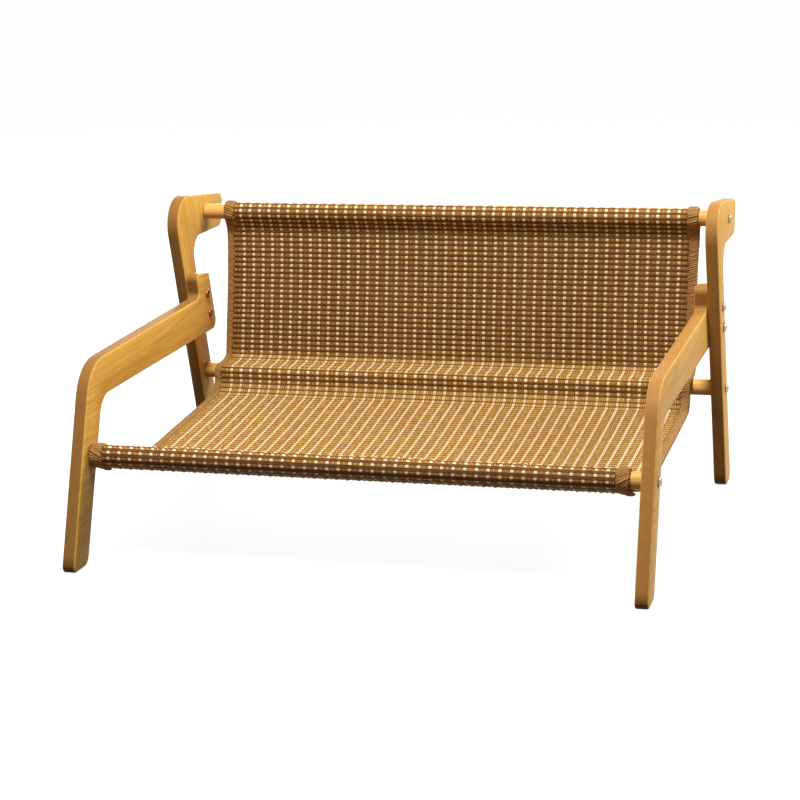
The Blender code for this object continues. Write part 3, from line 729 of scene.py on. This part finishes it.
def hem(name, mat, side, material, seed):
    """Cords that turn round the mat's side edge, slanted, one beside the other."""
    rng = np.random.default_rng(seed)
    count = int(mat.length / ROW * HEM_RIBS_PER_ROW) - 1
    step = ROW / HEM_RIBS_PER_ROW
    face, back = BEAD_FACE - HEM_RIB * HEM_RIB_SUNK, BEAD_BACK - HEM_RIB * HEM_RIB_SUNK
    profile = np.array(HEM_PROFILE)
    turn = np.arange(HEM_RIB_SIDES) * math.tau / HEM_RIB_SIDES
    which = (side + 1) // 2
    plain = HEM_WIDTH[which]
    rings = []
    for i in range(count):
        s0 = (i + HEM_START) * step + rng.normal(0, HEM_STEP_SPREAD)
        top, front = (float(v) for v in mat.round_rail(np.array(s0)))
        width = plain + (HEM_ROLL_WIDTH[0] - plain) * top + (HEM_ROLL_WIDTH[1] - plain) * front
        swell = HEM_SWELL * (HEM_PLAIN_SWELL + (1 - HEM_PLAIN_SWELL) * max(top, front))
        swell *= rng.uniform(*HEM_SWELL_SPREAD)
        width *= 1 + rng.uniform(-HEM_WIDTH_SPREAD, HEM_WIDTH_SPREAD)
        slant = HEM_SLANT * (1 + HEM_ROLL_SLANT * front)
        inward = profile[:, 0] * width
        lift = np.where(profile[:, 1] > 0, profile[:, 1] * (face + swell), profile[:, 1] * back)
        centre = np.stack((inward, lift), 1)
        ahead = np.roll(centre, -1, 0) - np.roll(centre, 1, 0)
        ahead /= np.linalg.norm(ahead, axis=1)[:, None]
        outward = np.stack((-ahead[:, 1], ahead[:, 0]), 1)
        thick = HEM_RIB * (1 + rng.uniform(-HEM_RIB_SPREAD, HEM_RIB_SPREAD))
        inward = inward[:, None] + outward[:, :1] * np.cos(turn) * thick
        lift = lift[:, None] + outward[:, 1:] * np.cos(turn) * thick
        s = s0 + slant * profile[:, :1] + np.sin(turn) * step * HEM_OVERLAP
        s = np.clip(s, 0, mat.length)
        rings.append(mat.place(mat.edges(s)[which] - side * (inward + HEM_RIB), s, lift))
    rings = np.array(rings)
    quads, _ = tubes(rings, closed=True)
    along = np.arange(len(profile)) * HEM_MAP_STEP
    starts = np.meshgrid(np.arange(HEM_RIB_SIDES) / HEM_RIB_SIDES, along)
    corners = np.array(((0, 0), (1, 0), (1, 1), (0, 1))) * (1 / HEM_RIB_SIDES, HEM_MAP_STEP)
    if side > 0:
        quads, corners = quads[..., ::-1], corners[::-1]
    one_rib = np.stack(starts, -1)[..., None, :] + corners
    corner_map = np.broadcast_to(one_rib, (count, *one_rib.shape))
    return add_mesh(name, rings, quads.reshape(-1, 4), material, corner_map)


def stitches(name, mat, run, material):
    """A row of short stitches across the mat's face, through both layers at a seam."""
    left, right = (float(e) for e in mat.edges(np.array(run)))
    count = int((right - left - 2 * STITCH_BORDER) / STITCH_STEP)
    turn = np.arange(STITCH_SIDES) * math.tau / STITCH_SIDES
    bow = np.array(STITCH_ALONG) * STITCH_LENGTH
    rise = np.array(STITCH_RISE)[:, None] * STITCH_RADIUS
    lift = WEFT + STITCH_LIFT + rise + np.cos(turn) * STITCH_RADIUS
    s = run + np.sin(turn) * STITCH_RADIUS
    rings = []
    for i in range(count):
        x = left + STITCH_BORDER + i * STITCH_STEP + bow
        rings.append(mat.place(x[:, None], s, lift))
    rings = np.array(rings)
    quads, index = tubes(rings)
    ends = []
    for ring, way in ((index[:, 0], 1), (index[:, -1], -1)):
        for part in (ring[:, (0, 1, 2, 3)], ring[:, (3, 4, 5, 0)]):
            ends.append(part[:, ::way])
    faces = np.vstack([quads.reshape(-1, 4), *ends])
    return add_mesh(name, rings, faces, material)


def fastener_profile(radius, length, tall, shank):
    """Side profile of a button-head fastener, from its tail over the head into the drive.

    Each step is its radius, its depth below the head's top, and whether it is round or hexagonal there.
    """
    flat = radius * HEAD_FLAT
    profile = [(0, length, True), (shank * TIP[0], length, True), (shank, length - TIP[1], True)]
    profile.append((shank, tall + HEAD_STEP, True))
    profile += [(radius * wide, tall * high, True) for wide, high in HEAD_RIM]
    for step in range(DOME_STEPS + 1):
        angle = math.pi / 2 * step / DOME_STEPS
        reach = flat + (radius - flat) * math.cos(angle)
        profile.append((reach, tall * HEAD_DOME * (1 - math.sin(angle)), True))
    profile += [(DRIVE * wide, depth, False) for wide, depth in DRIVE_LIP]
    profile += [(DRIVE, DRIVE_DEPTH, False), (0, DRIVE_DEPTH * DRIVE_POINT, True)]
    return profile


def headed(node, head_side, material, slot):
    """A turned button-head fastener with a hexagonal drive, in place of its plain solid."""
    low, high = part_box(node)
    y, z = (low.y + high.y) / 2, (low.z + high.z) / 2
    top, tail = (high.x, low.x) if head_side > 0 else (low.x, high.x)
    points, rings = [], []
    for reach, down, is_round in fastener_profile((high.y - low.y) / 2, abs(top - tail), *HEADS[slot]):
        ring = []
        for i in range(HEAD_SIDES if reach else 1):
            angle = math.tau * i / HEAD_SIDES
            r = reach if is_round else reach / math.cos((angle % (math.pi / 3)) - math.pi / 6)
            ring.append(len(points))
            points.append((top - head_side * down, y + r * math.cos(angle), z + r * math.sin(angle)))
        rings.append(ring)
    faces = []
    for ring, after in zip(rings, rings[1:]):
        for i in range(HEAD_SIDES):
            j = (i + 1) % HEAD_SIDES
            face = [ring[i % len(ring)], ring[j % len(ring)]]
            face += [after[j % len(after)], after[i % len(after)]]
            faces.append(list(dict.fromkeys(face))[::head_side])
    mesh = bpy.data.meshes.new(node + "_turned")
    mesh.from_pydata(points, [], faces)
    mesh.shade_smooth()
    mesh.set_sharp_from_angle(angle=math.radians(SMOOTH_ANGLE))
    mesh.materials.append(material)
    made = bpy.data.objects.new(node + "_turned", mesh)
    bpy.context.scene.collection.objects.link(made)
    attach(made, "root")
    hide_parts(node)


def dress(node, material):
    """Gives a node of the frame its finish, with its round faces shaded smooth."""
    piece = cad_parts[node]
    piece.data.materials.clear()
    piece.data.materials.append(material)
    piece.data.shade_smooth()
    weld = piece.modifiers.new("weld", "WELD")
    weld.merge_threshold = WELD_REACH
    split = piece.modifiers.new("sharp edges", "EDGE_SPLIT")
    split.split_angle = math.radians(EDGE_ANGLE)
    split.use_edge_sharp = False


def dress_wood():
    for node, (along, offset) in GRAIN.items():
        if node.endswith("rail"):
            dress(node, wood("wood_" + node, along, offset, RAIL_TONES))
        else:
            edge_shade_tone = EDGE_SHADE_TONES[node.split("_")[0]]
            dress(node, wood("wood_" + node, along, offset, BOARD_TONES, edge_shade_tone))


def dress_fasteners():
    steel = metal("zinc_steel", STEEL_TONE, STEEL_ROUGHNESS)
    bronze = metal("bronze_plate", BRONZE_TONE, BRONZE_ROUGHNESS)
    for side, label in ((-1, "left"), (1, "right")):
        for rail in ("top", "middle", "front"):
            headed(f"{rail}_rail_{label}_screw", side, steel, "steel")
            dress(f"{rail}_rail_{label}_insert", bronze)
        for height in ("upper", "lower"):
            headed(f"{label}_{height}_arm_bolt", side, steel, "steel")
            headed(f"{label}_{height}_sleeve_nut", -side, bronze, "brass")


def weave():
    """The mat: light cords, groups of brown cords between them, hems, stitches and the wefts."""
    mat = Mat()
    bends = [run / ROW for run in (mat.tread, mat.ledge, mat.riser, mat.front_seam)]
    light = cord("cream_cord", CREAM_TONES, CREAM_DIP_SHADE, bends, seat_shade_and_tint=CREAM_SEAT_SHADE)
    brown = cord("brown_cord", BROWN_TONES, BROWN_DIP_SHADE, bends, BROWN_FLANK_SHADE, BROWN_SEAT_TINT)
    weft = cord("weft_cord", WEFT_TONES)
    binding = cord("hem_cord", HEM_TONES)

    left, right = mat.edges(np.array(mat.top_seam))
    width = float(right - left)
    first = STRIPE_INSET / width
    step = STRIPE_STEP / width
    stripes = first + step * np.arange(LIGHT_STRIPES)
    groups = first + step * (np.arange(LIGHT_STRIPES + 1) - 0.5)
    spread = (np.arange(BROWN_CORDS) - (BROWN_CORDS - 1) / 2) * BROWN_STEP / width
    between = (groups[:, None] + spread).ravel()
    # The borders: one more brown cord beyond the last group, and two before the first
    beside = np.arange(2, 4) * BROWN_STEP / width
    between = np.r_[between, groups[-1] + beside[0], groups[0] - beside[0], groups[0] - beside[1]]

    pieces = []
    for i, part in enumerate(np.array_split(stripes, LIGHT_PIECES)):
        pieces.append(beaded_cords(
            f"sling_light_cords_{i + 1}", mat, part, LIGHT_HALF_WIDTH, light, LIGHT_SEED + i,
            LIGHT_PHASES, LIGHT_CORNERS,
        ))
    for i in range(BROWN_PIECES):
        part = between[i * BROWN_PIECE_CORDS:(i + 1) * BROWN_PIECE_CORDS]
        pieces.append(beaded_cords(
            f"sling_brown_cords_{i + 1}", mat, part, BROWN_HALF_WIDTH, brown, BROWN_SEED + i,
            BROWN_PHASES, BROWN_CORNERS, BROWN_HEIGHTS,
        ))
    pieces += [
        hem("sling_left_hem", mat, -1, binding, HEM_SEEDS[0]),
        hem("sling_right_hem", mat, 1, binding, HEM_SEEDS[1]),
        stitches("sling_top_stitches", mat, round(mat.top_seam / ROW) * ROW, binding),
        stitches("sling_front_stitches", mat, mat.front_seam, binding),
    ]
    cloth = ground_cloth(mat, weft)
    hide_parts("woven_sling")


def straight_rays(n):
    """1 for rays from the camera, off metal or through glass, 0 for the rays that light things."""
    rays = n.add("ShaderNodeLightPath").outputs
    reflected = n.math("ADD", rays["Is Glossy Ray"], rays["Is Transmission Ray"])
    return n.math("ADD", rays["Is Camera Ray"], reflected, clamp=True)


def floor():
    n = Nodes("studio_floor")
    place = n.add("ShaderNodeTexCoord").outputs["Object"]
    seen = straight_rays(n)
    plain = n.mix(n.ramp(n.noise(place, FLOOR_CELLS, detail=2.0), FLOOR_RANGE), *FLOOR_SEEN)
    n.put(n.shader.inputs["Base Color"], n.mix(seen, FLOOR_LIGHT, plain))
    n.shader.inputs["Roughness"].default_value = FLOOR_ROUGHNESS
    glow = n.add("ShaderNodeEmission", {"Color": (1, 1, 1, 1), "Strength": FLOOR_GLOW})
    both = n.add("ShaderNodeAddShader", {0: n.shader.outputs[0], 1: glow.outputs[0]})
    pick = n.add("ShaderNodeMixShader", {0: seen, 1: n.shader.outputs[0], 2: both.outputs[0]})
    n.put(n.tree.nodes["Material Output"].inputs["Surface"], pick.outputs[0])
    mesh = bpy.data.meshes.new("floor")
    size = FLOOR_HALF_SIZE
    corners = [(-size, -size, 0), (size, -size, 0), (size, size, 0), (-size, size, 0)]
    mesh.from_pydata(corners, [], [(0, 1, 2, 3)])
    mesh.materials.append(n.material)
    ground = bpy.data.objects.new("floor", mesh)
    bpy.context.scene.collection.objects.link(ground)


def lights():
    world = bpy.data.worlds.new("studio")
    bpy.context.scene.world = world
    n = Nodes("studio", world)
    n.put(n.shader.inputs["Color"], n.mix(straight_rays(n), WORLD_LIGHT, WORLD_SEEN))
    for name, (place, size, power) in LAMPS.items():
        lamp = bpy.data.lights.new(name, "AREA")
        lamp.size = size
        lamp.energy = power
        made = bpy.data.objects.new(name, lamp)
        made.location = place
        aim = Vector(LAMP_TARGET) - Vector(place)
        made.rotation_euler = aim.to_track_quat("-Z", "Y").to_euler()
        bpy.context.scene.collection.objects.link(made)


point_camera()
dress_wood()
dress_fasteners()
weave()
floor()
lights()
bpy.context.scene.view_settings.view_transform = "Standard"
